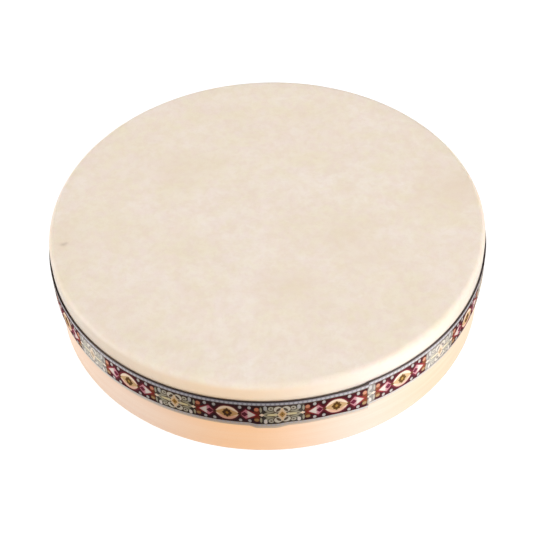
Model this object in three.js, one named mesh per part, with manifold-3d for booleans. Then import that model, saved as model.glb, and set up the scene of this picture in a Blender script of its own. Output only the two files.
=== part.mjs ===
// A ten inch frame drum. Three beech plies are bent and glued into a hoop, and a goatskin is drawn over its
// rounded edge and tacked to its side. A woven ribbon is glued over the tacks and laps over its own start.
// Millimetres, +Z up. The drum stands on the open rim of its hoop at z = 0, centred on the origin.
import * as THREE from "three";
import { mergeVertices } from "three/addons/utils/BufferGeometryUtils.js";
import Module from "manifold-3d";

// Hoop
const hoopOuterDiameter = 252;
const hoopHeight = 56;
const outerPlyThickness = 2;
const corePlyThickness = 2;
const innerPlyThickness = 2;
const glueLine = 0.1;
const plyScarfLength = 14; // how far a ply's ends are feathered along the hoop
const plySeamAfterTack = { outer: 6, core: 16, inner: 25 }; // each seam lies midway between two tacks

// Edges of the hoop
const bearingRound = 2.6; // the skin turns down over this
const bearingBevelDegrees = 24; // inside its crest the edge falls away, so that only the crest bears the skin
const footRound = 1.2;

// Skin
const skinThickness = 0.9;
const skinBelowTacks = 8.5; // from the row of tacks down to the cut edge of the skin
const seat = 0.3; // clearance between a piece and what it lies on

// Tacks
const tackCount = 28;
const tacksAboveRibbonMiddle = 2.1;
const tackHeadDiameter = 5;
const tackHeadThickness = 0.5;
const tackShankDiameter = 1.4;
const tackTaperLength = 2.1;
const tackPointCover = 1.4; // wood left ahead of a tack's point

// Ribbon
const ribbonWidth = 22;
const ribbonThickness = 0.7;
const ribbonBelowHoopEdge = 10; // from the top of the hoop down to the ribbon's upper edge
const ribbonEaseToWood = 1.8; // below the skin's edge, the ribbon settles onto the wood over this height
const ribbonLapDegrees = -66.9; // where the upper end of the ribbon is cut
const ribbonLapLength = 9;
const ribbonLapRise = 6; // the ribbon climbs onto its own start over this length
const ribbonTailDrop = 1.2; // the upper end was glued down a little low
const ribbonTailLength = 34;

// Facets
const facets = 72;
const roundSteps = 4;
const tackSides = 8;

const degrees = THREE.MathUtils.degToRad;
const facetAngle = (2 * Math.PI) / facets;
const firstCorner = -Math.PI / 2; // where a LatheGeometry begins, once its axis points up
const hoopOuterRadius = hoopOuterDiameter / 2;
const outerPlyInside = hoopOuterRadius - outerPlyThickness;
const corePlyOutside = outerPlyInside - glueLine;
const corePlyInside = corePlyOutside - corePlyThickness;
const innerPlyOutside = corePlyInside - glueLine;
const hoopInnerRadius = innerPlyOutside - innerPlyThickness;
const crestRadius = hoopOuterRadius - bearingRound;
const skinInnerRadius = hoopOuterRadius + seat;
const skinOuterRadius = skinInnerRadius + skinThickness;
const skinUnderside = hoopHeight + seat;
const ribbonUpperEdge = hoopHeight - ribbonBelowHoopEdge;
const ribbonLowerEdge = ribbonUpperEdge - ribbonWidth;
const tackHeight = (ribbonUpperEdge + ribbonLowerEdge) / 2 + tacksAboveRibbonMiddle;
const tackHeadRadius = tackHeadDiameter / 2;
const tackShankRadius = tackShankDiameter / 2;
const tackPitch = (2 * Math.PI) / tackCount;
const tackAngles = Array.from({ length: tackCount }, (_, i) => (i + 0.5) * tackPitch);
const tackSeatRadius = skinOuterRadius + seat; // where the underside of each head lies
const tackPointRadius = hoopInnerRadius + tackPointCover;
const skinEdgeHeight = tackHeight - skinBelowTacks;

const wasm = await Module();
wasm.setup();

function toSolid(geometry) {
  const bare = geometry.clone();
  bare.deleteAttribute("normal");
  bare.deleteAttribute("uv");
  const merged = mergeVertices(bare, 1e-4);
  return new wasm.Manifold(
    new wasm.Mesh({
      numProp: 3,
      vertProperties: merged.attributes.position.array,
      triVerts: new Uint32Array(merged.index.array),
    }),
  );
}

function toGeometry(solid) {
  const mesh = solid.getMesh();
  const geometry = new THREE.BufferGeometry();
  geometry.setAttribute("position", new THREE.BufferAttribute(mesh.vertProperties, 3));
  geometry.setIndex(new THREE.BufferAttribute(mesh.triVerts, 1));
  geometry.computeVertexNormals();
  return geometry;
}

function point(radius, height) {
  return new THREE.Vector2(radius, height);
}

function arc(radius, height, round, fromDegrees, toDegrees) {
  return Array.from({ length: roundSteps + 1 }, (_, i) => {
    const angle = degrees(fromDegrees + ((toDegrees - fromDegrees) * i) / roundSteps);
    return point(radius + round * Math.cos(angle), height + round * Math.sin(angle));
  });
}

// An outline of radii and heights, anticlockwise, turned about the drum's axis.
function turned(outline) {
  return new THREE.LatheGeometry(outline, facets).rotateX(Math.PI / 2);
}

// The whole wall of the hoop, with its bearing edge and its foot. These are shaped after the plies are glued.
function hoopWall() {
  const bevelDrop = (crestRadius - hoopInnerRadius) * Math.tan(degrees(bearingBevelDegrees));
  const outline = [
    ...arc(hoopInnerRadius + footRound, footRound, footRound, 180, 270),
    ...arc(hoopOuterRadius - footRound, footRound, footRound, 270, 360),
    ...arc(crestRadius, hoopHeight - bearingRound, bearingRound, 0, 90),
    point(hoopInnerRadius, hoopHeight - bevelDrop),
  ];
  return turned([...outline, outline[0]]);
}

// One strip of veneer in that wall, bent into a ring. Its feathered ends meet in a long slanting seam.
function bentPly(inside, outside, seamAfterTack) {
  const ring = turned([
    point(inside, 0),
    point(outside, 0),
    point(outside, hoopHeight),
    point(inside, hoopHeight),
    point(inside, 0),
  ]);
  const thickness = outside - inside;
  const seam = new THREE.BoxGeometry(glueLine, 2 * Math.hypot(thickness, plyScarfLength), 2 * hoopHeight)
    .rotateZ(Math.atan2(thickness, plyScarfLength))
    .translate(inside + thickness / 2, 0, hoopHeight / 2)
    .rotateZ(seamAfterTack * tackPitch);
  return toGeometry(toSolid(hoopWall()).intersect(toSolid(ring)).subtract(toSolid(seam)));
}

// The goatskin: a flat head, a shoulder over the bearing edge and a skirt down the side of the hoop.
function drawnSkin() {
  const shoulderHeight = hoopHeight - bearingRound;
  const innerRound = bearingRound + seat;
  return turned([
    point(0, skinUnderside),
    ...arc(crestRadius, shoulderHeight, innerRound, 90, 0),
    point(skinInnerRadius, skinEdgeHeight),
    point(skinOuterRadius, skinEdgeHeight),
    ...arc(crestRadius, shoulderHeight, innerRound + skinThickness, 0, 90),
    point(0, skinUnderside + skinThickness),
  ]);
}

// A tack with a low domed head, pointing inwards along -X, with the underside of its head at x = 0.
function skinTack() {
  const reach = tackSeatRadius - tackPointRadius;
  return new THREE.LatheGeometry(
    [
      point(0, -reach),
      point(tackShankRadius, -reach + tackTaperLength),
      point(tackShankRadius, 0),
      point(tackHeadRadius, 0),
      point(0, tackHeadThickness),
    ],
    tackSides,
  ).rotateZ(-Math.PI / 2);
}

// Every tack goes through the skin and into all the plies, so each of them is pierced by the same row of holes.
function pierced(geometry) {
  const holeRadius = tackShankRadius + seat;
  const from = tackPointRadius - seat;
  const to = tackSeatRadius + seat;
  const hole = new THREE.CylinderGeometry(holeRadius, holeRadius, to - from, tackSides)
    .rotateZ(-Math.PI / 2)
    .translate((from + to) / 2, 0, tackHeight);
  const solid = tackAngles.reduce(
    (rest, angle) => rest.subtract(toSolid(hole.clone().rotateZ(angle))),
    toSolid(geometry),
  );
  return toGeometry(solid);
}

// The ribbon's section: down the skin, out over the tack heads, and in past the skin's edge to the wood.
function ribbonOutline() {
  const onWood = hoopOuterRadius + seat;
  const onSkin = skinOuterRadius + seat;
  const onTacks = tackSeatRadius + tackHeadThickness + seat;
  const overTacks = tackHeadRadius + ribbonTailDrop;
  const inside = [
    point(onWood, ribbonLowerEdge),
    point(onWood, skinEdgeHeight - ribbonEaseToWood),
    point(onSkin, skinEdgeHeight),
    point(onTacks, tackHeight - overTacks),
    point(onTacks, tackHeight + overTacks),
    point(onSkin, (tackHeight + overTacks + ribbonUpperEdge) / 2),
    point(onSkin, ribbonUpperEdge),
  ];
  const outside = inside.map(({ x, y }) => point(x + ribbonThickness, y));
  return [...outside, ...inside.reverse()];
}

// Seen from above, every turned ring is the same regular polygon. A point between two of its corners is drawn
// in onto the flat between them, so that the ribbon lies as evenly as the rings do.
function onFlat(radius, angle) {
  const fromMiddle = THREE.MathUtils.euclideanModulo(angle - firstCorner, facetAngle) - facetAngle / 2;
  return (radius * Math.cos(facetAngle / 2)) / Math.cos(fromMiddle);
}

// The angles of a strip's sections: its ends, the bends between them, and the polygon's corners clear of those.
function sectionAngles(start, bends, end) {
  const apart = facetAngle / 8;
  const first = Math.ceil((start + apart - firstCorner) / facetAngle);
  const last = Math.floor((end - apart - firstCorner) / facetAngle);
  const corners = Array.from({ length: last - first + 1 }, (_, i) => firstCorner + (first + i) * facetAngle);
  const clear = corners.filter((corner) => bends.every((bend) => Math.abs(bend - corner) > apart));
  return [start, ...bends, ...clear, end].sort((a, b) => a - b);
}

// The ribbon runs once round, climbs onto its own start, and is cut off there a little low. It is extruded
// straight, by one unit from each section to the next, and then every section is set at its own angle.
function lappedRibbon() {
  const end = degrees(ribbonLapDegrees) + 2 * Math.PI;
  const climbed = end - ribbonLapLength / tackSeatRadius;
  const climbing = climbed - ribbonLapRise / tackSeatRadius;
  const tail = end - ribbonTailLength / tackSeatRadius;
  const bends = [climbing, (climbing + climbed) / 2, climbed];
  const angles = sectionAngles(climbed - 2 * Math.PI, bends, end).reverse();
  const ribbon = new THREE.ExtrudeGeometry(new THREE.Shape(ribbonOutline()), {
    depth: angles.length - 1,
    steps: angles.length - 1,
    bevelEnabled: false,
  });
  const position = ribbon.getAttribute("position");
  for (let i = 0; i < position.count; i++) {
    const angle = angles[Math.round(position.getZ(i))];
    const lift = (ribbonThickness + seat) * THREE.MathUtils.smoothstep(angle, climbing, climbed);
    const drop = ribbonTailDrop * THREE.MathUtils.smoothstep(angle, tail, end);
    const radius = onFlat(position.getX(i) + lift, angle);
    position.setXYZ(i, radius * Math.cos(angle), radius * Math.sin(angle), position.getY(i) - drop);
  }
  ribbon.computeVertexNormals();
  return ribbon;
}

const paleBeech = new THREE.MeshStandardMaterial({ color: 0xe8c39b, roughness: 0.55, metalness: 0 });
const coreBeech = new THREE.MeshStandardMaterial({ color: 0xd3a67a, roughness: 0.6, metalness: 0 });
const goatskin = new THREE.MeshStandardMaterial({ color: 0xeee0cd, roughness: 0.62, metalness: 0 });
const jacquard = new THREE.MeshStandardMaterial({ color: 0x6a2f2c, roughness: 0.85, metalness: 0 });
const bluedSteel = new THREE.MeshStandardMaterial({ color: 0x3c4250, roughness: 0.4, metalness: 1 });

function piece(name, geometry, material) {
  const mesh = new THREE.Mesh(geometry, material);
  mesh.name = name;
  return mesh;
}

const { outer, core, inner } = plySeamAfterTack;
const hoop = new THREE.Group();
hoop.add(
  piece("hoop_outer_ply", pierced(bentPly(outerPlyInside, hoopOuterRadius, outer)), paleBeech),
  piece("hoop_core_ply", pierced(bentPly(corePlyInside, corePlyOutside, core)), coreBeech),
  piece("hoop_inner_ply", pierced(bentPly(hoopInnerRadius, innerPlyOutside, inner)), paleBeech),
);

const head = new THREE.Group();
head.add(piece("goatskin_head", pierced(drawnSkin()), goatskin));
tackAngles.forEach((angle, i) => {
  const tack = piece(`skin_tack_${String(i + 1).padStart(2, "0")}`, skinTack(), bluedSteel);
  tack.position.set(tackSeatRadius, 0, tackHeight);
  const spoke = new THREE.Group();
  spoke.rotation.z = angle;
  spoke.add(tack);
  head.add(spoke);
});

const drum = new THREE.Group();
drum.add(hoop, head, piece("woven_ribbon", lappedRibbon(), jacquard));

export default drum;
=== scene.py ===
import math

import bmesh
import bpy
from mathutils import Matrix, Vector


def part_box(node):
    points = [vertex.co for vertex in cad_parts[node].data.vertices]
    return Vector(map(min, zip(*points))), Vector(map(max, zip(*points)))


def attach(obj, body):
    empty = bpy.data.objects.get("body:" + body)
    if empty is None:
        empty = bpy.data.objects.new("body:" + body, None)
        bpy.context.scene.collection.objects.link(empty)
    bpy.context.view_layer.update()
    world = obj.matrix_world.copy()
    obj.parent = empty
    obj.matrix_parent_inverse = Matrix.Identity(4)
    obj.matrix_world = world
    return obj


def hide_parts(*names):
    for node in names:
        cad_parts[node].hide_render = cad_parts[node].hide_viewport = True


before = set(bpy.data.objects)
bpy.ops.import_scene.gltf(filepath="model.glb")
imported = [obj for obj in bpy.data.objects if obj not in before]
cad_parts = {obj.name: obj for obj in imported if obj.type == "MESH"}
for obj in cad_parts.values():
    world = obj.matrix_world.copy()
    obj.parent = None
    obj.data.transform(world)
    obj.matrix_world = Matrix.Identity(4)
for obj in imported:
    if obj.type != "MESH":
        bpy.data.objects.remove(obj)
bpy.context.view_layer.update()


# Hoop: three plies of beech veneer, bent round a former and glued face to face. The feathered ends of each
# ply meet in a slanting seam, and the seams are spread round the hoop. After that its edges are rounded and
# sanded, and the bare wood is wiped with thin clear lacquer.
HOOP_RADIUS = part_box("hoop_outer_ply")[1].x
HOOP_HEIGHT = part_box("hoop_core_ply")[1].z
PLY_THICKNESS = 0.002
PLY_STEPS = 12  # across the thickness of a ply
HOOP_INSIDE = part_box("hoop_inner_ply")[1].x - PLY_THICKNESS
BEARING_ROUND = 0.0026
BEARING_BEVEL = math.radians(24)
CREST_RADIUS = HOOP_RADIUS - BEARING_ROUND
FOOT_ROUND = 0.0012
SCARF_LENGTH = 0.014
SCARF_GAP = 0.0001
SCARF_EASE = 0.35  # radians over which a ply's columns lean over towards its seam
TACK_COUNT = 28
TACK_PITCH = math.tau / TACK_COUNT
SEAM_AFTER_TACK = {"hoop_outer_ply": 6, "hoop_core_ply": 16, "hoop_inner_ply": 25}
ROUND_STEPS = 288
WOOD_PALE = (0.895, 0.625, 0.430)
WOOD_WARM = (0.860, 0.550, 0.340)
WOOD_RIPE = (0.905, 0.515, 0.250)
# Painted highlight: the pale tone laid on the sides of the hoop that the lamps light.
WOOD_PAINTED_HIGHLIGHT = (0.930, 0.830, 0.795)
WOOD_FLECK = (0.480, 0.255, 0.120)
CORE_PALE = (0.700, 0.430, 0.230)
CORE_WARM = (0.580, 0.330, 0.160)
# Stretches of the veneer with a deeper tone, and with a painted highlight where the lamps light the
# hoop's sides: metres to the right and to the back, width, depth, strength.
RIPE_STRETCH = (-0.022, -0.124, 0.030, 0.060, 0.85)
WOOD_HIGHLIGHT_STRETCHES = [(0.048, -0.117, 0.028, 0.040, 0.43), (-0.080, -0.098, 0.030, 0.040, 0.24)]
# How often the grain's patterns repeat in a metre, along the strip and across it.
FIGURE_REPEATS = (7.0, 190.0)
FIBRE_REPEATS = (22.0, 1500.0)
RAY_REPEATS_ACROSS = 2600.0
RAY_LENGTH = 0.0022
FIGURE_SHARE = 0.66  # of the slow figure in the tone, where the fibres have the rest
FLECK_RIM = (0.24, 0.10)  # where a fleck begins and where it is full, from its middle
WOOD_TONE = (0.37, 0.63)  # the part of the grain's tone over which pale wood turns warm
WOOD_STREAKS = (0.8, 1.1)  # how strongly pale and warm wood take the ripe stretch
WOOD_ROUGHNESS = (0.38, 0.56)


def wall_top(radius):
    from_crest = radius - CREST_RADIUS
    if from_crest < 0:
        return HOOP_HEIGHT + from_crest * math.tan(BEARING_BEVEL)
    return HOOP_HEIGHT - BEARING_ROUND + math.sqrt(max(0, BEARING_ROUND**2 - from_crest**2))


def wall_foot(radius):
    into_corner = max(radius - HOOP_RADIUS + FOOT_ROUND, HOOP_INSIDE + FOOT_ROUND - radius, 0)
    return FOOT_ROUND - math.sqrt(max(0, FOOT_ROUND**2 - into_corner**2))


def turn(mesh, angle, steps, full=False):
    """Sweeps everything in the bmesh about the drum's axis."""
    geometry = mesh.verts[:] + mesh.edges[:] + mesh.faces[:]
    bmesh.ops.spin(
        mesh, geom=geometry, cent=(0, 0, 0), axis=(0, 0, 1), angle=angle, steps=steps, use_merge=full
    )


def set_polar(vertex, radius, angle, height):
    vertex.co = (radius * math.cos(angle), radius * math.sin(angle), height)


def finished(name, mesh, material, replaced, sharp=35):
    """Makes the bmesh a piece that rides on the drum and stands for the named CAD nodes."""
    for face in mesh.faces:
        face.smooth = True
    data = bpy.data.meshes.new(name)
    mesh.to_mesh(data)
    mesh.free()
    data.set_sharp_from_angle(angle=math.radians(sharp))
    data.materials.append(material)
    piece = bpy.data.objects.new(name, data)
    bpy.context.scene.collection.objects.link(piece)
    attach(piece, "root")
    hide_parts(*replaced)
    return piece


def place(tree, kind, inputs=None, **settings):
    """Adds a node. Each input is a number, a colour, a vector or another node's output."""
    made = tree.nodes.new(kind)
    for name, value in settings.items():
        setattr(made, name, value)
    for name, value in (inputs or {}).items():
        if isinstance(value, bpy.types.NodeSocket):
            tree.links.new(value, made.inputs[name])
        else:
            made.inputs[name].default_value = value
    return made


def maths(tree, operation, *values):
    return place(tree, "ShaderNodeMath", dict(enumerate(values)), operation=operation).outputs[0]


def times(tree, a, b):
    return maths(tree, "MULTIPLY", a, b)


def between(tree, share, low, high):
    """A number that goes from low to high as the share goes from 0 to 1."""
    return maths(tree, "MULTIPLY_ADD", share, high - low, low)


def mixed(tree, amount, under, over):
    """The colour over laid on the colour under, by an amount from 0 to 1."""
    under, over = [(*colour, 1.0) if isinstance(colour, tuple) else colour for colour in (under, over)]
    return place(tree, "ShaderNodeMix", {0: amount, 6: under, 7: over}, data_type="RGBA").outputs[2]


def ramp(tree, value, low, high, kind="SMOOTHSTEP"):
    """0 where the value is under low, 1 where it is over high. The two may be given the other way round."""
    inputs = {"Value": value, "From Min": low, "From Max": high, "To Min": 0.0, "To Max": 1.0}
    return place(tree, "ShaderNodeMapRange", inputs, interpolation_type=kind, clamp=True).outputs[0]


def noise(tree, vector, scale, detail, roughness):
    inputs = {"Vector": vector, "Scale": scale, "Detail": detail, "Roughness": roughness}
    return place(tree, "ShaderNodeTexNoise", inputs).outputs["Fac"]


def new_group(name, inputs, outputs):
    """A shader node group. Sockets are floats, vectors or colours, by the kind given for each name."""
    group = bpy.data.node_groups.new(name, "ShaderNodeTree")
    for in_out, sockets in (("INPUT", inputs), ("OUTPUT", outputs)):
        for socket, kind in sockets.items():
            group.interface.new_socket(name=socket, in_out=in_out, socket_type="NodeSocket" + kind)
    taken = group.nodes.new("NodeGroupInput").outputs
    given = group.nodes.new("NodeGroupOutput").inputs
    return group, taken, given


def grouped(tree, group, inputs):
    """Places a node group in a material and sets its inputs. Returns its outputs."""
    return place(tree, "ShaderNodeGroup", inputs, node_tree=group).outputs


def new_material(name, **surface):
    """A material with one Principled surface. Returns it, its node tree and that surface."""
    material = bpy.data.materials.new(name)
    material.use_nodes = True
    tree = material.node_tree
    principled = tree.nodes["Principled BSDF"]
    for socket, value in surface.items():
        principled.inputs[socket.replace("_", " ")].default_value = value
    return material, tree, principled


def bump(tree, height, distance, strength):
    return place(
        tree, "ShaderNodeBump", {"Height": height, "Distance": distance, "Strength": strength}
    ).outputs[0]


def seen_from_above(tree):
    at = place(tree, "ShaderNodeTexCoord").outputs["Object"]
    return place(tree, "ShaderNodeSeparateXYZ", {"Vector": at}).outputs


def spot(tree, x, y, across, back, width, depth, strength):
    """A soft ellipse seen from above, with its full strength in the middle and half of it at the rim."""
    dx = maths(tree, "DIVIDE", maths(tree, "SUBTRACT", x, across), width)
    dy = maths(tree, "DIVIDE", maths(tree, "SUBTRACT", y, back), depth)
    squared = maths(tree, "ADD", times(tree, dx, dx), times(tree, dy, dy))
    return times(tree, maths(tree, "POWER", 0.5, squared), strength)


# The grain of a bent veneer runs along the strip. Tone is its slow figure, Flecks its short dark rays.
grain, taken, given = new_group(
    "veneer_grain",
    {"Strip": "Vector", "Ray Length": "Float"},
    {"Tone": "Float", "Flecks": "Float", "Height": "Float"},
)
along, up_strip, _ = place(grain, "ShaderNodeSeparateXYZ", {"Vector": taken["Strip"]}).outputs


def stretched_strip(repeats_along, repeats_across):
    inputs = {"X": times(grain, along, repeats_along), "Y": times(grain, up_strip, repeats_across)}
    return place(grain, "ShaderNodeCombineXYZ", inputs).outputs[0]


figure = noise(grain, stretched_strip(*FIGURE_REPEATS), scale=1.0, detail=5.0, roughness=0.55)
fibres = noise(grain, stretched_strip(*FIBRE_REPEATS), scale=1.0, detail=3.0, roughness=0.6)
ray_repeats = maths(grain, "DIVIDE", 1.0, taken["Ray Length"])
rays = stretched_strip(ray_repeats, RAY_REPEATS_ACROSS)
ray = place(grain, "ShaderNodeTexVoronoi", {"Vector": rays, "Scale": 1.0, "Randomness": 1.0})
tone = maths(grain, "ADD", times(grain, figure, FIGURE_SHARE), times(grain, fibres, 1 - FIGURE_SHARE))
grain.links.new(tone, given["Tone"])
grain.links.new(ramp(grain, ray.outputs["Distance"], *FLECK_RIM), given["Flecks"])
grain.links.new(fibres, given["Height"])


def beech(name, pale, warm, lacquer, fleck, aged_and_highlit):
    """Beech with a coat of lacquer. Where asked, its ripe stretch and its painted highlights show."""
    material, tree, surface = new_material(
        name, Coat_Weight=lacquer, Coat_Roughness=0.28, Coat_IOR=1.5, Specular_IOR_Level=0.45
    )
    strip = place(tree, "ShaderNodeUVMap", uv_map="along_strip").outputs[0]
    veneer = grouped(tree, grain, {"Strip": strip, "Ray Length": RAY_LENGTH})
    tone = ramp(tree, veneer["Tone"], *WOOD_TONE)
    colour = mixed(tree, tone, pale, warm)
    if aged_and_highlit:
        x, y, _ = seen_from_above(tree)
        ripe = times(tree, spot(tree, x, y, *RIPE_STRETCH), between(tree, tone, *WOOD_STREAKS))
        colour = mixed(tree, ripe, colour, WOOD_RIPE)
        # Painted highlight on the sides of the hoop that the lamps light.
        for stretch in WOOD_HIGHLIGHT_STRETCHES:
            colour = mixed(tree, spot(tree, x, y, *stretch), colour, WOOD_PAINTED_HIGHLIGHT)
    colour = mixed(tree, times(tree, veneer["Flecks"], fleck), colour, WOOD_FLECK)
    tree.links.new(colour, surface.inputs["Base Color"])
    tree.links.new(between(tree, veneer["Height"], *WOOD_ROUGHNESS), surface.inputs["Roughness"])
    relief = bump(tree, veneer["Height"], distance=0.00006, strength=0.55)
    tree.links.new(relief, surface.inputs["Normal"])
    return material


face_beech = beech("pale_beech", WOOD_PALE, WOOD_WARM, lacquer=0.35, fleck=0.16, aged_and_highlit=True)
core_beech = beech("core_beech", CORE_PALE, CORE_WARM, lacquer=0.12, fleck=0.10, aged_and_highlit=False)


def bent_ply(node, material):
    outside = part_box(node)[1].x
    inside = outside - PLY_THICKNESS
    radii = [inside + PLY_THICKNESS * i / PLY_STEPS for i in range(PLY_STEPS + 1)]
    mesh = bmesh.new()
    section = [mesh.verts.new((radius, 0, wall_foot(radius))) for radius in radii]
    section += [mesh.verts.new((radius, 0, wall_top(radius))) for radius in reversed(radii)]
    mesh.faces.new(section)
    gap = SCARF_GAP / outside
    turn(mesh, math.tau - gap, ROUND_STEPS)
    bmesh.ops.recalc_face_normals(mesh, faces=mesh.faces)
    strip = mesh.loops.layers.uv.new("along_strip")
    start = SEAM_AFTER_TACK[node] * TACK_PITCH + gap / 2
    for vertex in mesh.verts:
        radius = math.hypot(vertex.co.x, vertex.co.y)
        angle = (math.atan2(vertex.co.y, vertex.co.x) + gap / 2) % math.tau - gap / 2
        # The start added to the height takes each ply's grain from another part of the pattern.
        for loop in vertex.link_loops:
            loop[strip].uv = (angle * outside, vertex.co.z + start)
        from_end = min(angle, math.tau - angle)
        lean = (SCARF_LENGTH / outside) * ((radius - inside) / PLY_THICKNESS - 0.5)
        lean *= max(0, 1 - from_end / SCARF_EASE)
        set_polar(vertex, radius, start + angle + lean, vertex.co.z)
    return finished(node.replace("hoop_", "bent_"), mesh, material, [node])


bent_ply("hoop_outer_ply", face_beech)
bent_ply("hoop_core_ply", core_beech)
bent_ply("hoop_inner_ply", face_beech)


# Head: a goatskin, soaked, drawn down over the rounded edge of the hoop and left to dry until it is tight.
# It is about a millimetre thick and pale, with faint tan patches. The wood shows through a little where the
# skin lies on it.
SKIN_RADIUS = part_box("goatskin_head")[1].x
SKIN_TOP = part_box("goatskin_head")[1].z
SKIN_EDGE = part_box("goatskin_head")[0].z
SKIN_THICKNESS = 0.0009
SKIN_SEAT = SKIN_RADIUS - SKIN_THICKNESS - HOOP_RADIUS
SHOULDER_HEIGHT = HOOP_HEIGHT - BEARING_ROUND
HEAD_RINGS = 24
SIDE_RINGS = 10
SHOULDER_RINGS = 10
SKIN_PALE = (0.860, 0.753, 0.662)
SKIN_TAN = (0.755, 0.610, 0.455)
SKIN_CREAM = (0.805, 0.705, 0.505)
SKIN_ROSY = (0.820, 0.665, 0.595)
SKIN_STAIN = (0.400, 0.290, 0.200)
SKIN_WARM = (0.840, 0.660, 0.490)
SKIN_RIPE = (0.850, 0.590, 0.360)
# Painted highlight on the skin's side.
SKIN_PAINTED_HIGHLIGHT = (0.880, 0.830, 0.790)
# Painted shade on the skin's side.
SKIN_PAINTED_SHADE = (0.655, 0.590, 0.520)
SKIN_ROUGHNESS = (0.46, 0.58)
CLOUD_RIM = (0.38, 0.68)  # the noise at which a cloud begins and at which it is full
PIT_RIM = (0.30, 0.12)  # where a hair pit begins and where it is full, from its middle
PIT_DEPTH = 0.25  # where the creases' height is 1
PATCH_WANDER = 0.012  # how far the edges of a patch stray
ROSY_ASIDE = (0.3, 0.2, 0.1)  # takes the rosy clouds from another part of the pattern
WOOD_SHOWS_BELOW = 0.0006  # from the top of the skin
WOOD_SHOWS = 0.70
# Stretches of the skin's side with a painted highlight and with painted shade, and patches and marks on the
# head: metres to the right and to the back, width, depth, strength.
SKIN_HIGHLIGHT_STRETCH = (0.068, -0.108, 0.040, 0.045, 0.60)
SKIN_SHADE_STRETCHES = [(-0.118, -0.045, 0.030, 0.070, 0.7), (0.122, -0.042, 0.022, 0.036, 0.9)]
SKIN_PATCHES = [
    (0.1134, 0.0166, 0.016, 0.012, 0.55),
    (0.0448, -0.0171, 0.014, 0.010, 0.30),
    (0.0589, -0.0337, 0.012, 0.009, 0.35),
    (0.0064, -0.0542, 0.016, 0.009, 0.30),
    (-0.0475, 0.0426, 0.018, 0.013, 0.30),
    (-0.1178, -0.0063, 0.009, 0.012, 0.30),
]
SKIN_MARKS = [(-0.1177, -0.0160, 0.0015, 0.0010, 0.42), (-0.1160, -0.0150, 0.0010, 0.0008, 0.25)]


def shoulder_arc(radius, start, end):
    """Points of a round about the crest of the hoop, between two angles in degrees."""
    steps = [i / SHOULDER_RINGS for i in range(SHOULDER_RINGS + 1)]
    angles = [math.radians(start + (end - start) * step) for step in steps]
    return [(CREST_RADIUS + radius * math.cos(a), SHOULDER_HEIGHT + radius * math.sin(a)) for a in angles]


def drawn_skin():
    inner = BEARING_ROUND + SKIN_SEAT
    outer = inner + SKIN_THICKNESS
    rings = [CREST_RADIUS * i / HEAD_RINGS for i in range(HEAD_RINGS)]
    side_height = SKIN_EDGE - SHOULDER_HEIGHT
    side = [SHOULDER_HEIGHT + side_height * i / SIDE_RINGS for i in range(1, SIDE_RINGS)]
    outline = [(radius, SKIN_TOP - SKIN_THICKNESS) for radius in rings]
    outline += shoulder_arc(inner, 90, 0)
    outline += [(SKIN_RADIUS - SKIN_THICKNESS, height) for height in side]
    outline += [(SKIN_RADIUS - SKIN_THICKNESS, SKIN_EDGE), (SKIN_RADIUS, SKIN_EDGE)]
    outline += [(SKIN_RADIUS, height) for height in reversed(side)]
    outline += shoulder_arc(outer, 0, 90)
    outline += [(radius, SKIN_TOP) for radius in reversed(rings)]
    mesh = bmesh.new()
    points = [mesh.verts.new((radius, 0, height)) for radius, height in outline]
    for a, b in zip(points, points[1:]):
        mesh.edges.new((a, b))
    turn(mesh, math.tau, ROUND_STEPS, full=True)
    bmesh.ops.remove_doubles(mesh, verts=mesh.verts, dist=0.00001)
    bmesh.ops.recalc_face_normals(mesh, faces=mesh.faces)
    return mesh


# Soft clouds of tone, as in hide and in worn surfaces.
clouds, taken, given = new_group(
    "soft_clouds", {"Vector": "Vector", "Size": "Float", "Detail": "Float"}, {"Mask": "Float"}
)
cloud = place(
    clouds,
    "ShaderNodeTexNoise",
    {
        "Vector": taken["Vector"],
        "Scale": maths(clouds, "DIVIDE", 1.0, taken["Size"]),
        "Detail": taken["Detail"],
        "Roughness": 0.55,
        "Distortion": 0.4,
    },
)
clouds.links.new(ramp(clouds, cloud.outputs["Fac"], *CLOUD_RIM), given["Mask"])

# The grain side of a hide: hair pits in drifting rows, between fine creases.
hide, taken, given = new_group("hide_grain", {"Vector": "Vector"}, {"Pits": "Float", "Height": "Float"})
rows = {"Vector": taken["Vector"], "Rotation": (0, 0, 0.5), "Scale": (1.0, 1.7, 1.0)}
drift = place(hide, "ShaderNodeMapping", rows).outputs[0]
hairs = place(hide, "ShaderNodeTexVoronoi", {"Vector": drift, "Scale": 900.0, "Randomness": 0.9})
creases = noise(hide, taken["Vector"], scale=260.0, detail=4.0, roughness=0.6)
pits = ramp(hide, hairs.outputs["Distance"], *PIT_RIM)
hide.links.new(pits, given["Pits"])
hide.links.new(maths(hide, "SUBTRACT", creases, times(hide, pits, PIT_DEPTH)), given["Height"])


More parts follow.
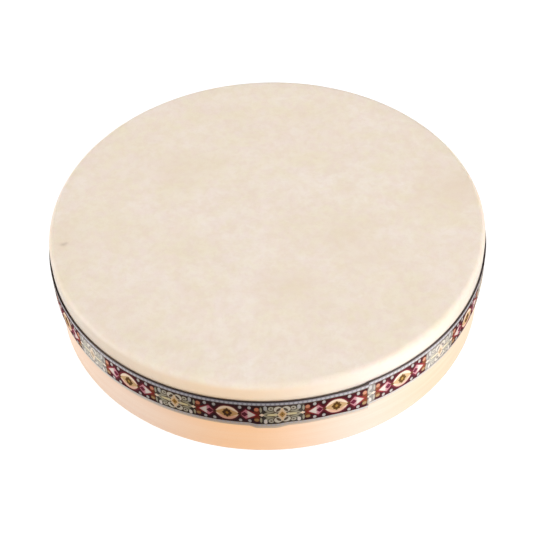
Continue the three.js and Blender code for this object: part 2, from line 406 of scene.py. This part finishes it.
def goatskin():
    material, tree, surface = new_material(
        "goatskin",
        Specular_IOR_Level=0.4,
        Subsurface_Weight=0.12,
        Subsurface_Scale=0.002,
        Subsurface_Radius=(1.0, 0.6, 0.35),
    )
    at = place(tree, "ShaderNodeTexCoord").outputs["Object"]
    x, y, z = seen_from_above(tree)
    wander = place(tree, "ShaderNodeTexNoise", {"Vector": at, "Scale": 55.0, "Detail": 3.0})
    strayed = {0: wander.outputs["Color"], 1: (PATCH_WANDER, PATCH_WANDER, PATCH_WANDER), 2: at}
    loose = place(tree, "ShaderNodeVectorMath", strayed, operation="MULTIPLY_ADD").outputs[0]
    loose_x, loose_y, _ = place(tree, "ShaderNodeSeparateXYZ", {"Vector": loose}).outputs
    aside = place(tree, "ShaderNodeVectorMath", {0: at, 1: ROSY_ASIDE}).outputs[0]
    broad = grouped(tree, clouds, {"Vector": at, "Size": 0.055, "Detail": 5.0})["Mask"]
    middling = grouped(tree, clouds, {"Vector": loose, "Size": 0.024, "Detail": 5.0})["Mask"]
    small = grouped(tree, clouds, {"Vector": at, "Size": 0.011, "Detail": 4.0})["Mask"]
    rosy = grouped(tree, clouds, {"Vector": aside, "Size": 0.007, "Detail": 4.0})["Mask"]
    fine = grouped(tree, clouds, {"Vector": at, "Size": 0.0042, "Detail": 3.0})["Mask"]
    grained = grouped(tree, hide, {"Vector": at})
    on_wood = ramp(tree, z, SKIN_TOP - WOOD_SHOWS_BELOW, SHOULDER_HEIGHT)

    # The layers of tone, painted highlight and painted shade, from the lowest up: how strong each is over
    # the skin, and its colour.
    layers = [
        (times(tree, broad, 0.26), SKIN_TAN),
        (times(tree, middling, 0.50), SKIN_CREAM),
        (times(tree, small, 0.32), SKIN_CREAM),
        (times(tree, rosy, 0.55), SKIN_ROSY),
        (times(tree, fine, 0.30), SKIN_TAN),
        (times(tree, grained["Pits"], 0.13), SKIN_STAIN),
    ]
    for across, back, *size_and_strength in SKIN_PATCHES:
        middle = (across + PATCH_WANDER / 2, back + PATCH_WANDER / 2)
        layers.append((spot(tree, loose_x, loose_y, *middle, *size_and_strength), SKIN_TAN))
    for mark in SKIN_MARKS:
        layers.append((spot(tree, x, y, *mark), SKIN_STAIN))
    wood_shows = times(tree, on_wood, WOOD_SHOWS)
    layers.append((wood_shows, SKIN_WARM))
    layers.append((times(tree, spot(tree, x, y, *RIPE_STRETCH), wood_shows), SKIN_RIPE))
    # Painted highlight on the skin's side to the right of the front.
    layers.append((times(tree, spot(tree, x, y, *SKIN_HIGHLIGHT_STRETCH), on_wood), SKIN_PAINTED_HIGHLIGHT))
    # Painted shade on the skin's side at the far left and the far right.
    for stretch in SKIN_SHADE_STRETCHES:
        layers.append((times(tree, spot(tree, x, y, *stretch), on_wood), SKIN_PAINTED_SHADE))
    colour = SKIN_PALE
    for amount, tint in layers:
        colour = mixed(tree, amount, colour, tint)

    tree.links.new(colour, surface.inputs["Base Color"])
    tree.links.new(between(tree, small, *SKIN_ROUGHNESS), surface.inputs["Roughness"])
    relief = bump(tree, grained["Height"], distance=0.00012, strength=0.5)
    tree.links.new(relief, surface.inputs["Normal"])
    return material


finished("drawn_goatskin", drawn_skin(), goatskin(), ["goatskin_head"])


# Ribbon: a jacquard trim 22 mm wide, woven in one strip with the same motif over and over between beaded
# borders. It is glued round the drum over the tacks and the cut edge of the skin. Its end laps over its
# start, in front and to the right, where it was cut straight across and lifts a little at its lower corner.
RIBBON_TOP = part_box("woven_ribbon")[1].z
RIBBON_WIDTH = 0.022
RIBBON_THICKNESS = 0.0004
RIBBON_FOOT = RIBBON_TOP - RIBBON_WIDTH
RIBBON_COLUMNS = 1480
RIBBON_ROWS = 30
TACK_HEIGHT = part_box("skin_tack_01")[0].z / 2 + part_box("skin_tack_01")[1].z / 2
TACK_PROUD = 0.00028
GLUE_ON_WOOD = 0.00015
GLUE_ON_SKIN = 0.00006
GLUE_IN_LAP = 0.00015
ON_WOOD = HOOP_RADIUS + GLUE_ON_WOOD
ON_SKIN = SKIN_RADIUS + GLUE_ON_SKIN
ON_TACKS = SKIN_RADIUS + TACK_PROUD + GLUE_ON_SKIN
LAP_END = math.radians(-66.9) + math.tau
LAP_LENGTH = 0.009
LAP_RISE = 0.012
LAP_LIFT = RIBBON_THICKNESS + GLUE_IN_LAP
# The start hangs low under the lap, comes up just past it, and then runs a little high for a while.
START_DROP = 0.0013
START_LOW_TO = 0.55  # in lengths of the lap
START_UP_BY = 1.1
START_RISE = 0.0006
START_SETTLES = 0.7  # radians
CORNER_LENGTH = 0.014
CORNER_FLARE = 0.0007
CORNER_DROP = 0.0003
# In front the lower edge puckers. It opens and closes over a few hundredths of a radian.
PUCKER_FROM = math.radians(-96.5) + math.tau
PUCKER_TO = math.radians(-86.2) + math.tau
PUCKER_OPENS = 0.04
PUCKER_CLOSES = 0.07
PUCKER_DROP = 0.0008
PUCKER_FLARE = 0.0008
EDGE_FLARE = 0.0002
EDGE_FROM = 0.88  # share of the width at which the upper edge begins to stand off
# The ribbon was laid by hand, so it wanders up and down: metres, waves round the drum, phase.
WANDER = [(0.00022, 3, 0.8), (0.00012, 7, 2.1)]
LAID_HIGH = 0.0002
# The ribbon leaves the wood, lies down on the skin, and drapes over the tacks, sagging between them.
LEAVES_WOOD = 0.0020
LIES_ON_SKIN = 0.0010
DRAPE_BELOW = 0.0030
DRAPE_ABOVE = 0.0034
DRAPE_SAG = 0.15
MEDALLION_ANGLE = math.radians(-57.2)
MOTIF_PITCH = math.radians(26.315)


def eased(value, low, high):
    """0 at low and 1 at high, with soft ends. The two may be given the other way round."""
    share = min(1, max(0, (value - low) / (high - low)))
    return share * share * (3 - 2 * share)


def laid_ribbon():
    lap = LAP_LENGTH / ON_TACKS
    climbed = LAP_END - lap
    start = climbed - math.tau
    mesh = bmesh.new()
    woven = mesh.loops.layers.uv.new("woven")
    bmesh.ops.create_grid(mesh, x_segments=RIBBON_COLUMNS, y_segments=RIBBON_ROWS, size=0.5)
    for vertex in mesh.verts:
        angle = start + (LAP_END - start) * (vertex.co.x + 0.5)
        across = vertex.co.y + 0.5
        for loop in vertex.link_loops:
            loop[woven].uv = ((angle - MEDALLION_ANGLE) / MOTIF_PITCH, across)
        lower = (1 - across) ** 2
        corner = eased(angle, LAP_END - CORNER_LENGTH / ON_TACKS, LAP_END) * lower
        pucker = eased(angle, PUCKER_FROM, PUCKER_FROM + PUCKER_OPENS) * lower
        pucker *= eased(angle, PUCKER_TO, PUCKER_TO - PUCKER_CLOSES)
        beginning = eased(angle, start + START_UP_BY * lap, start + START_LOW_TO * lap)
        rise = LAID_HIGH + START_RISE * (1 - eased(angle, start, start + START_SETTLES))
        rise += sum(size * math.sin(waves * angle + phase) for size, waves, phase in WANDER)
        height = RIBBON_FOOT + RIBBON_WIDTH * across
        on_skin = eased(height, RIBBON_FOOT - LEAVES_WOOD, SKIN_EDGE + LIES_ON_SKIN)
        draped = eased(height, SKIN_EDGE, TACK_HEIGHT - DRAPE_BELOW)
        draped *= eased(height, RIBBON_TOP, TACK_HEIGHT + DRAPE_ABOVE)
        draped *= 1 - DRAPE_SAG + DRAPE_SAG * math.cos(angle / TACK_PITCH * math.tau - math.pi)
        radius = ON_WOOD + on_skin * (ON_SKIN - ON_WOOD) + draped * (ON_TACKS - ON_SKIN)
        radius += LAP_LIFT * eased(angle, climbed - LAP_RISE / ON_TACKS, climbed)
        radius += CORNER_FLARE * corner + PUCKER_FLARE * pucker + EDGE_FLARE * eased(across, EDGE_FROM, 1)
        height += rise - CORNER_DROP * corner - PUCKER_DROP * pucker - START_DROP * beginning
        set_polar(vertex, radius + RIBBON_THICKNESS, angle, height)
    bmesh.ops.recalc_face_normals(mesh, faces=mesh.faces)
    return mesh, (LAP_END - start) * (ON_TACKS + ON_SKIN) / 2


# The motif, as a drawing of threads in their dyes. Along is measured from the middle of a medallion and
# Across from near the middle of the ribbon, both in millimetres.
MOTIF_REPEAT = 58.6  # from one medallion to the next
PATTERN_WIDTH = 23.0  # from one edge of the ribbon to the other
PATTERN_FOOT = -11.85
FLOWER_FROM = 17.6  # where the flower zone begins, from the middle of a medallion
BEAD_PITCH = MOTIF_REPEAT / 24
SELVEDGE = (0.045, 0.031, 0.028)
GROUND = (0.021, 0.0020, 0.0032)
FLOWER_GROUND = (0.020, 0.011, 0.006)
UPPER_BORDER = (0.200, 0.185, 0.210)
LOWER_BORDER = (0.440, 0.350, 0.280)
BEAD = (0.400, 0.380, 0.390)
LOWER_EDGE = (0.600, 0.470, 0.360)
CREAM = (0.700, 0.525, 0.375)
SALMON = (0.600, 0.310, 0.215)
TAN = (0.440, 0.245, 0.100)
BROWN = (0.050, 0.017, 0.003)
PINK = (0.420, 0.150, 0.175)
WHITE = (0.530, 0.450, 0.390)
DOT = (0.330, 0.305, 0.285)
MAROON = (0.070, 0.004, 0.012)
DARK_RED = (0.080, 0.004, 0.008)
BRIGHT_RED = (0.210, 0.015, 0.011)
RUST = (0.110, 0.020, 0.006)
ORANGE = (0.430, 0.150, 0.080)
AMBER = (0.270, 0.145, 0.055)
GOLD = (0.280, 0.130, 0.018)
LEAF = (0.520, 0.430, 0.230)
SCROLL = (0.350, 0.305, 0.225)
VINE = (0.255, 0.220, 0.145)
PETAL = (0.470, 0.410, 0.320)
HEART = (0.560, 0.375, 0.215)
SHADE_BROWN = (0.060, 0.030, 0.013)
# The dyes whose threads lie in the ground, and how high these are where the threads of a figure are 1.
GROUND_DYES = (FLOWER_GROUND, SELVEDGE, UPPER_BORDER, DARK_RED, BRIGHT_RED, RUST)
GROUND_HEIGHT = 0.2

motif, taken, given = new_group(
    "folk_motif", {"Along": "Float", "Across": "Float"}, {"Color": "Color", "Raised": "Float"}
)


def length_of(x, y):
    return maths(motif, "SQRT", maths(motif, "ADD", times(motif, x, x), times(motif, y, y)))


def off(value, centre, size):
    return maths(motif, "DIVIDE", maths(motif, "SUBTRACT", value, centre), size)


def lozenge(x, y, cx, cy, width, height):
    """Under 1 inside a lozenge with its corners at those half widths."""
    dx = maths(motif, "ABSOLUTE", off(x, cx, width))
    return maths(motif, "ADD", dx, maths(motif, "ABSOLUTE", off(y, cy, height)))


def pointed_oval(x, y, width, height):
    """Under 1 inside a pointed oval about the origin. X is never under 0."""
    bulge = maths(motif, "POWER", off(x, 0, width), 2.5)
    return maths(motif, "ADD", bulge, maths(motif, "ABSOLUTE", off(y, 0, height)))


def oval(x, y, cx, cy, width, height):
    return length_of(off(x, cx, width), off(y, cy, height))


def inside(shape, limit=1.0, soft=0.05):
    return ramp(motif, shape, limit + soft, limit - soft, kind="LINEAR")


def above(value, limit):
    return maths(motif, "GREATER_THAN", value, limit)


def below(value, limit):
    return maths(motif, "LESS_THAN", value, limit)


def both(a, b):
    return times(motif, a, b)


side = maths(motif, "ABSOLUTE", taken["Along"])
level = taken["Across"]
height = maths(motif, "ABSOLUTE", level)
from_flower = maths(motif, "SUBTRACT", MOTIF_REPEAT / 2, side)
bead_step = maths(motif, "PINGPONG", side, BEAD_PITCH / 2)
painted = []


def paint(colour, mask):
    painted.append((colour, mask))


# Medallion zone: an almond round a dark star with a golden heart, and at each end of it a kite with a dark
# lozenge and a white point. An orange and a golden knot lie above and below each point.
KITE_MIDDLE = 10.0
kite_width = between(motif, above(side, KITE_MIDDLE), 3.0, 5.3)
kite_along = maths(motif, "DIVIDE", maths(motif, "ABSOLUTE", off(side, KITE_MIDDLE, 1.0)), kite_width)
kite = maths(motif, "ADD", kite_along, off(height, 0, 4.2))
almond = pointed_oval(side, level, 6.5, 5.8)
paint(FLOWER_GROUND, above(side, FLOWER_FROM))
paint(RUST, inside(oval(side, height, 15.9, 2.0, 1.5, 2.6)))
paint(DARK_RED, inside(kite, 1.34))
paint(BRIGHT_RED, both(inside(kite, 1.24), ramp(motif, side, 11.6, 13.8)))
paint(DARK_RED, inside(pointed_oval(side, level, 7.6, 6.8)))
paint(PINK, inside(kite))
paint(WHITE, both(inside(kite, 0.97), ramp(motif, side, 10.4, 11.6)))
paint(MAROON, inside(lozenge(side, level, 9.3, 0, 2.0, 2.2)))
paint(CREAM, inside(almond))
paint(SALMON, both(inside(almond), ramp(motif, level, -1.6, -3.2)))
paint(TAN, both(inside(almond, 1.08), inside(lozenge(side, level, 0, 0, 7.1, 4.4), 1.0, 0.08)))
paint(BROWN, both(below(height, 0.6), both(above(side, 5.6), below(side, 7.6))))
paint(BROWN, both(below(side, 1.9), below(height, 2.7)))
paint(BROWN, inside(lozenge(side, level, 0, 0, 2.9, 4.1)))
paint(GOLD, inside(lozenge(side, level, 0, 0, 0.9, 1.4), 1.0, 0.12))
paint(ORANGE, inside(oval(side, level, 15.8, 4.6, 1.25, 1.5), 1.0, 0.14))
paint(AMBER, inside(oval(side, level, 15.7, -4.3, 1.3, 1.3), 1.0, 0.14))
paint(DOT, inside(oval(side, height, 7.0, 5.9, 0.9, 1.3), 1.0, 0.14))
paint(DOT, inside(oval(side, height, 12.0, 5.9, 0.9, 1.3), 1.0, 0.14))

# Flower zone: a golden heart under an arch of four ringed petals, two leaves inside a vine, and curls and
# pale points in the corners.
vine = pointed_oval(from_flower, level, 10.8, 4.2)
beside_heart = above(from_flower, 1.5)
slant = maths(motif, "MULTIPLY_ADD", height, 0.5, from_flower)
ringed = oval(from_flower, height, 2.2, 4.4, 2.2, 2.4)
curl = oval(from_flower, height, 5.9, 5.1, 1.6, 1.6)
point = oval(from_flower, height, 8.9, 5.6, 1.0, 1.9)
paint(VINE, both(inside(vine), beside_heart))
paint(SHADE_BROWN, both(inside(vine, 0.62), beside_heart))
paint(SCROLL, inside(oval(from_flower, level, 3.5, 0, 1.0, 1.5)))
paint(LEAF, inside(oval(from_flower, level, 5.2, 0, 2.9, 0.95)))
paint(VINE, inside(oval(from_flower, height, 7.6, 3.6, 1.3, 1.1)))
paint(FLOWER_GROUND, inside(curl, 1.35))
paint(SCROLL, inside(curl))
paint(SHADE_BROWN, inside(oval(from_flower, height, 5.9, 5.1, 0.6, 0.6)))
paint(VINE, inside(oval(from_flower, height, 11.3, 4.3, 0.55, 2.2)))
paint(DOT, inside(point))
paint(WHITE, both(inside(point), below(level, 0.0)))
paint(CREAM, inside(lozenge(from_flower, level, 10.8, 0, 1.4, 1.3)))
paint(SHADE_BROWN, inside(ringed, 1.24))
paint(PETAL, inside(ringed))
paint(SHADE_BROWN, inside(oval(slant, height, 4.0, 4.1, 1.0, 1.6)))
paint(HEART, inside(lozenge(from_flower, level, 0, 0, 2.7, 5.8)))
paint(GOLD, inside(lozenge(from_flower, level, 0, 0, 1.7, 2.7)))
paint(BROWN, inside(lozenge(from_flower, level, 0, 0, 0.5, 0.8)))

# Borders: a beaded line along each edge, and a dark selvedge above.
bead = length_of(off(bead_step, 0, 0.95), off(height, 8.95, 0.80))
paint(UPPER_BORDER, above(level, 7.7))
paint(SHADE_BROWN, both(above(level, 7.5), below(level, 7.95)))
paint(LOWER_BORDER, below(level, -8.0))
paint(BEAD, inside(bead, 1.0, 0.24))
paint(SELVEDGE, above(level, 10.35))
paint(LOWER_EDGE, below(level, -10.2))

drawing, raised = GROUND, 0.0
for dye, mask in painted:
    drawing = mixed(motif, mask, drawing, dye)
    thread_height = GROUND_HEIGHT if dye in GROUND_DYES else 1.0
    raised = maths(motif, "MULTIPLY_ADD", mask, maths(motif, "SUBTRACT", thread_height, raised), raised)
motif.links.new(drawing, given["Color"])
motif.links.new(raised, given["Raised"])

# Plain threads: picks across the strip, each over and under the warp, with painted shade between them.
PICK_SIZE = 0.30  # millimetres
END_SIZE = 0.24
PICK_LIFT = (0.5, 1.0)  # the height of a pick beside an end and over it
# Painted shade between the threads, and a painted highlight on top of them.
THREAD_SHADE = (0.72, 1.07)  # what the dye is multiplied by between the threads and on top of them
THREAD_RELIEF = 0.6  # where the height of the figures is 1
threads, taken, given = new_group(
    "thread_weave",
    {"Along": "Float", "Across": "Float", "Pick": "Float", "End": "Float"},
    {"Shade": "Float", "Height": "Float"},
)
pick = maths(threads, "DIVIDE", taken["Along"], taken["Pick"])
end = maths(threads, "DIVIDE", taken["Across"], taken["End"])
odd = maths(threads, "MODULO", maths(threads, "FLOOR", pick), 2.0)
shifted = maths(threads, "MULTIPLY_ADD", odd, 0.5, end)
across_pick = maths(threads, "SINE", times(threads, maths(threads, "FRACT", pick), math.pi))
along_end = maths(threads, "SINE", times(threads, maths(threads, "FRACT", shifted), math.pi))
rib = times(threads, across_pick, between(threads, along_end, *PICK_LIFT))
threads.links.new(rib, given["Height"])
threads.links.new(between(threads, rib, *THREAD_SHADE), given["Shade"])

# Where the ribbon is painted lighter, a painted sheen where its threads catch the lamps on either side:
# metres to the right and to the back, width, depth, strength.
SHEEN_STRETCHES = [
    (0.068, -0.100, 0.050, 0.060, 1.0),
    (0.114, -0.050, 0.032, 0.045, 0.7),
    (-0.100, -0.080, 0.035, 0.050, 0.9),
    (-0.120, -0.045, 0.026, 0.040, 0.6),
]
# Where the ribbon is darker, in front, in the same five values.
DARKER_FRONT_STRETCH = (-0.017, -0.127, 0.034, 0.030, 0.36)
# The painted sheen softens the dyes' contrast and makes them lighter; the darker stretch does the
# reverse. The first number of each is for dyes with no sheen.
SHEEN_GAMMA = (1.0, 0.66)
SHEEN_GAIN = (1.0, 1.46)
# Where the sheen is painted, the flower zones take a pale painted sheen as well, but for the borders.
FLOWER_SHEEN = (0.700, 0.670, 0.640)
FLOWER_SHEEN_SHARE = 0.42
FLOWER_SHEEN_EASE = 0.8
FIGURES_WITHIN = 7.6


def jacquard():
    material, tree, surface = new_material("jacquard", Roughness=0.7, Specular_IOR_Level=0.06)
    strip = place(tree, "ShaderNodeUVMap", uv_map="woven").outputs[0]
    repeats, across, _ = place(tree, "ShaderNodeSeparateXYZ", {"Vector": strip}).outputs
    from_middle = maths(tree, "SUBTRACT", maths(tree, "FRACT", maths(tree, "ADD", repeats, 0.5)), 0.5)
    along_mm = times(tree, from_middle, MOTIF_REPEAT)
    across_mm = maths(tree, "MULTIPLY_ADD", across, PATTERN_WIDTH, PATTERN_FOOT)
    stepped_along = maths(tree, "ADD", maths(tree, "SNAP", along_mm, PICK_SIZE), PICK_SIZE / 2)
    stepped_across = maths(tree, "ADD", maths(tree, "SNAP", across_mm, END_SIZE), END_SIZE / 2)
    drawn = grouped(tree, motif, {"Along": stepped_along, "Across": stepped_across})
    weave = grouped(
        tree, threads, {"Along": along_mm, "Across": across_mm, "Pick": PICK_SIZE, "End": END_SIZE * 2}
    )
    x, y, _ = seen_from_above(tree)
    # Painted sheen, lighter where the threads catch the lamps, less the darker stretch in front.
    sheen_amount = 0.0
    for stretch in SHEEN_STRETCHES:
        sheen_amount = maths(tree, "MAXIMUM", sheen_amount, spot(tree, x, y, *stretch))
    sheen_and_darkening = maths(tree, "SUBTRACT", sheen_amount, spot(tree, x, y, *DARKER_FRONT_STRETCH))
    sheen_softened = {"Color": drawn["Color"], "Gamma": between(tree, sheen_and_darkening, *SHEEN_GAMMA)}
    dye = place(tree, "ShaderNodeGamma", sheen_softened).outputs[0]
    along_side = maths(tree, "ABSOLUTE", along_mm)
    # A pale painted sheen on the flower zones where the sheen is painted.
    flower_sheen_mask = ramp(tree, along_side, FLOWER_FROM - FLOWER_SHEEN_EASE, FLOWER_FROM + FLOWER_SHEEN_EASE)
    flower_sheen_mask = times(tree, flower_sheen_mask, maths(tree, "LESS_THAN", maths(tree, "ABSOLUTE", across_mm), FIGURES_WITHIN))
    flower_sheen_mask = times(tree, flower_sheen_mask, times(tree, sheen_amount, sheen_amount))
    dye = mixed(tree, times(tree, flower_sheen_mask, FLOWER_SHEEN_SHARE), dye, FLOWER_SHEEN)
    # The dye is multiplied by the painted shade between the threads and by the painted sheen.
    thread_shade_and_sheen = times(tree, weave["Shade"], between(tree, sheen_and_darkening, *SHEEN_GAIN))
    shade = place(tree, "ShaderNodeVectorMath", {0: dye, "Scale": thread_shade_and_sheen}, operation="SCALE").outputs[0]
    tree.links.new(shade, surface.inputs["Base Color"])
    standing = maths(tree, "ADD", drawn["Raised"], times(tree, weave["Height"], THREAD_RELIEF))
    tree.links.new(bump(tree, standing, distance=0.00018, strength=0.8), surface.inputs["Normal"])
    return material


ribbon_mesh, ribbon_length = laid_ribbon()
ribbon = finished("jacquard_ribbon", ribbon_mesh, jacquard(), ["woven_ribbon"], sharp=60)
thickness = ribbon.modifiers.new("cloth thickness", "SOLIDIFY")
thickness.thickness = RIBBON_THICKNESS
thickness.offset = -1


# Tacks: small blued steel tacks with domed heads, driven through the skin and the outer plies while the
# skin was wet. There are 28 of them in a row right round, all hidden under the ribbon.
TACK_POINT = 0.1212  # from the drum's axis
TACK_TAPER = 0.0021
TACK_SHANK = 0.0007
TACK_NECK = 0.0003  # how far under the head the shank widens
TACK_NECK_FLARE = 0.0004
TACK_HEAD = 0.0025
TACK_RIM = 0.0001
TACK_DOME = 0.0005
DOME_STEPS = 6
TACK_SIDES = 20
STEEL_BLUED = (0.035, 0.045, 0.075)
STEEL_BARE = (0.20, 0.20, 0.21)
STEEL_ROUGHNESS = (0.30, 0.55)


def tack_profile():
    """Distances from the drum's axis and the tack's radius at each, from its point to its crown."""
    underside = SKIN_RADIUS + TACK_PROUD - TACK_DOME
    outline = [(TACK_POINT, 0), (TACK_POINT + TACK_TAPER, TACK_SHANK), (underside - TACK_NECK, TACK_SHANK)]
    outline += [(underside, TACK_SHANK + TACK_NECK_FLARE), (underside, TACK_HEAD - TACK_RIM)]
    for i in range(DOME_STEPS + 1):
        angle = i / DOME_STEPS * math.pi / 2
        rise = TACK_RIM + (TACK_DOME - TACK_RIM) * math.sin(angle)
        outline.append((underside + rise, TACK_HEAD * math.cos(angle)))
    return outline


def blued_steel():
    material, tree, surface = new_material("blued_steel", Metallic=1.0)
    at = place(tree, "ShaderNodeTexCoord").outputs["Object"]
    worn = grouped(tree, clouds, {"Vector": at, "Size": 0.0009, "Detail": 3.0})["Mask"]
    tree.links.new(mixed(tree, worn, STEEL_BLUED, STEEL_BARE), surface.inputs["Base Color"])
    tree.links.new(between(tree, worn, *STEEL_ROUGHNESS), surface.inputs["Roughness"])
    tree.links.new(bump(tree, worn, distance=0.00003, strength=0.5), surface.inputs["Normal"])
    return material


def driven_tack(angle):
    mesh = bmesh.new()
    points = [mesh.verts.new((distance, 0, radius)) for distance, radius in tack_profile()]
    for a, b in zip(points, points[1:]):
        mesh.edges.new((a, b))
    bmesh.ops.spin(
        mesh,
        geom=mesh.verts[:] + mesh.edges[:],
        cent=(0, 0, 0),
        axis=(1, 0, 0),
        angle=math.tau,
        steps=TACK_SIDES,
        use_merge=True,
    )
    bmesh.ops.remove_doubles(mesh, verts=mesh.verts, dist=0.000005)
    bmesh.ops.recalc_face_normals(mesh, faces=mesh.faces)
    bmesh.ops.translate(mesh, verts=mesh.verts, vec=(0, 0, TACK_HEIGHT))
    round_the_drum = Matrix.Rotation(angle, 3, "Z")
    bmesh.ops.rotate(mesh, verts=mesh.verts, cent=(0, 0, 0), matrix=round_the_drum)
    return mesh


tack_steel = blued_steel()
for number in range(TACK_COUNT):
    tack = driven_tack((number + 0.5) * TACK_PITCH)
    node = f"skin_tack_{number + 1:02d}"
    finished(node.replace("skin_", "steel_"), tack, tack_steel, [node])


# Floor, lamps and camera: a white table among large soft lamps, the strongest of them low on the right. The
# camera looks down on the drum from in front, a little turned, through a long lens.
FLOOR_SIZE = 12
FLOOR_GREY = (0.60, 0.60, 0.60, 1)
WHITE_LIGHT = (1, 1, 1, 1)
FLOOR_GLOW = 1.30
FLOOR_GLOW_SHARE = 0.75  # of what the camera sees of the floor, where the rest takes the drum's shadow
WORLD_LIGHT = 0.16
LAMP_DISTANCE = 1.8
LAMP_SIZE = 1.2
LAMPS_FACE = Vector((0, 0, 0.03))


def plain_floor():
    bpy.ops.mesh.primitive_plane_add(size=FLOOR_SIZE)
    floor = bpy.context.object
    floor.name = "white_floor"
    material, tree, surface = new_material("white_floor", Roughness=0.9, Specular_IOR_Level=0.1)
    surface.inputs["Base Color"].default_value = FLOOR_GREY
    plain = surface.outputs[0]
    seen = place(tree, "ShaderNodeLightPath").outputs
    direct = maths(tree, "MAXIMUM", seen["Is Camera Ray"], seen["Is Glossy Ray"])
    glow = place(tree, "ShaderNodeEmission", {"Color": WHITE_LIGHT, "Strength": FLOOR_GLOW}).outputs[0]
    lit = place(tree, "ShaderNodeMixShader", {0: FLOOR_GLOW_SHARE, 1: plain, 2: glow}).outputs[0]
    shown = place(tree, "ShaderNodeMixShader", {0: direct, 1: plain, 2: lit}).outputs[0]
    tree.links.new(shown, tree.nodes["Material Output"].inputs["Surface"])
    floor.data.materials.append(material)


def soft_lamp(name, azimuth, elevation, power):
    """An area lamp that faces the drum. Azimuth 0 is on the camera's side and 90 is on the right."""
    data = bpy.data.lights.new(name, "AREA")
    data.shape = "DISK"
    data.size = LAMP_SIZE
    data.energy = power
    lamp = bpy.data.objects.new(name, data)
    turned, lifted = math.radians(azimuth), math.radians(elevation)
    outwards = Vector((math.sin(turned), -math.cos(turned), 0))
    towards = math.cos(lifted) * outwards + Vector((0, 0, math.sin(lifted)))
    lamp.location = LAMPS_FACE + towards * LAMP_DISTANCE
    lamp.rotation_mode = "QUATERNION"
    lamp.rotation_quaternion = (-towards).to_track_quat("-Z", "Y")
    bpy.context.scene.collection.objects.link(lamp)


def white_world():
    world = bpy.data.worlds.new("white_studio")
    bpy.context.scene.world = world
    world.use_nodes = True
    tree = world.node_tree
    seen = place(tree, "ShaderNodeLightPath").outputs
    direct = maths(tree, "MAXIMUM", seen["Is Camera Ray"], seen["Is Glossy Ray"])
    direct = maths(tree, "MAXIMUM", direct, seen["Is Transmission Ray"])
    tree.links.new(between(tree, direct, WORLD_LIGHT, 1.0), tree.nodes["Background"].inputs["Strength"])
    tree.nodes["Background"].inputs["Color"].default_value = WHITE_LIGHT


plain_floor()
soft_lamp("right_lamp", azimuth=46, elevation=13, power=29.5)
soft_lamp("left_lamp", azimuth=-84, elevation=12, power=26)
soft_lamp("back_lamp", azimuth=180, elevation=60, power=15)
soft_lamp("high_lamp", azimuth=45, elevation=35, power=7)
white_world()

IMAGE_WIDTH = 533
FOCAL_PIXELS = 1328.5
SENSOR_WIDTH = 36
LOOK_DOWN = math.radians(46.33)
ROLL = math.radians(2.44)
# Where the middle of the head lies from the camera, in radii of the head.
HEAD_RIGHT = -0.0007
HEAD_UP = 0.2297
HEAD_AWAY = 6.104

camera_data = bpy.data.cameras.new("camera")
camera_data.sensor_width = SENSOR_WIDTH
camera_data.lens = FOCAL_PIXELS / IMAGE_WIDTH * SENSOR_WIDTH
camera = bpy.data.objects.new("camera", camera_data)
level_right = Vector((1, 0, 0))
level_up = Vector((0, math.sin(LOOK_DOWN), math.cos(LOOK_DOWN)))
forward = Vector((0, math.cos(LOOK_DOWN), -math.sin(LOOK_DOWN)))
right = math.cos(ROLL) * level_right - math.sin(ROLL) * level_up
up = math.sin(ROLL) * level_right + math.cos(ROLL) * level_up
from_camera = HEAD_RIGHT * right + HEAD_UP * up + HEAD_AWAY * forward
facing = Matrix((right, up, -forward)).transposed().to_4x4()
camera.matrix_world = Matrix.Translation(Vector((0, 0, SKIN_TOP)) - SKIN_RADIUS * from_camera) @ facing
bpy.context.scene.collection.objects.link(camera)
bpy.context.scene.camera = camera
bpy.context.scene.view_settings.view_transform = "Standard"
